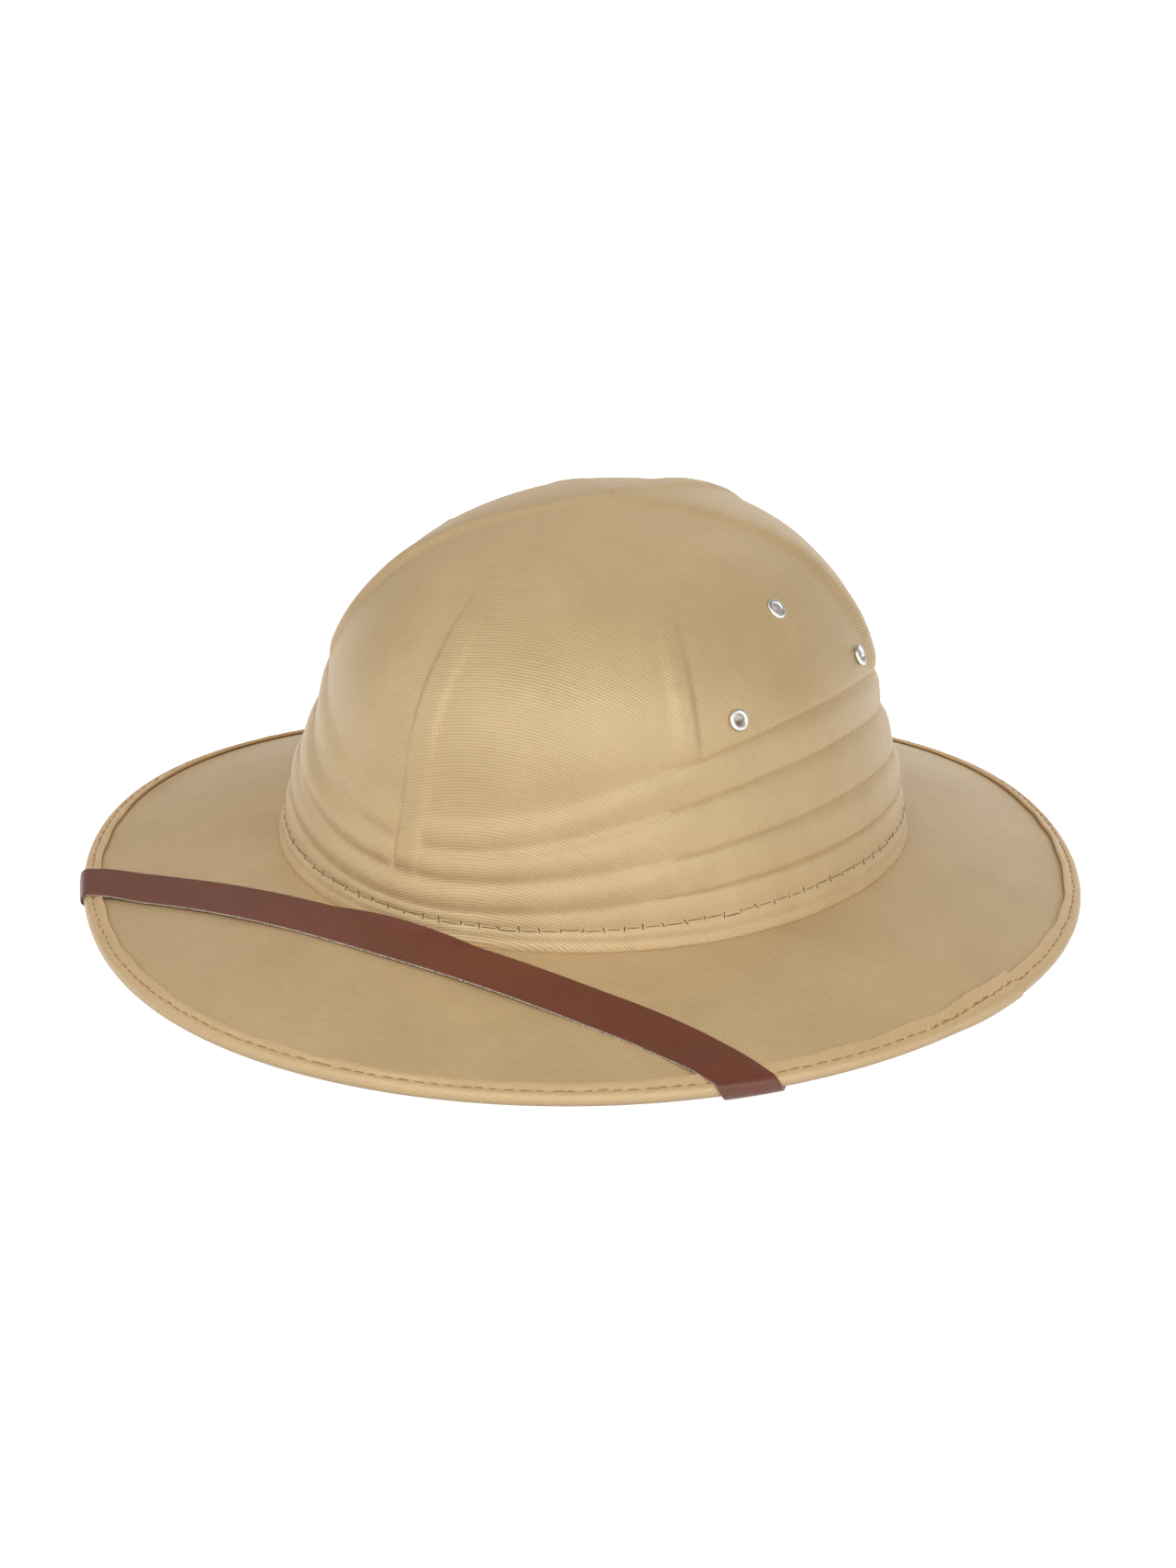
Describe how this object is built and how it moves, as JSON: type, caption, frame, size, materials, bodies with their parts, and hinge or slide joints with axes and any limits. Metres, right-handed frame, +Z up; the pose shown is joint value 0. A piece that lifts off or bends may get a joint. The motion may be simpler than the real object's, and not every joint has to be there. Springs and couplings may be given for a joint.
{
  "type": "safari hat",
  "caption": "Safari hat with a moulded panelled crown, rolled folds round its base, a wide bound brim, side vent eyelets and a leatherette chin strap over the front of the brim.",
  "frame": {"origin": "centre of the bounding box's bottom face, on the surface that the hat rests on", "axes": "+Z up; front of the hat towards -Y, its long axis along Y; the wearer's left towards +X"},
  "size_m": [0.3002, 0.3358, 0.128],
  "materials": {
    "twill": "khaki cotton twill with a slight sheen",
    "binding_twill": "khaki cotton twill tape, folded and stitched",
    "leatherette": "reddish brown leatherette with a soft sheen and a woven backing",
    "nickel": "nickel plated eyelet, slightly dull"
  },
  "bodies": {
    "root": {"crown": "twill", "brim": "twill", "edge_binding": "binding_twill", "chin_strap": "leatherette", "eyelet_left_1": "nickel", "eyelet_left_2": "nickel", "eyelet_left_3": "nickel", "eyelet_right_1": "nickel", "eyelet_right_2": "nickel", "eyelet_right_3": "nickel"}
  },
  "joints": []
}
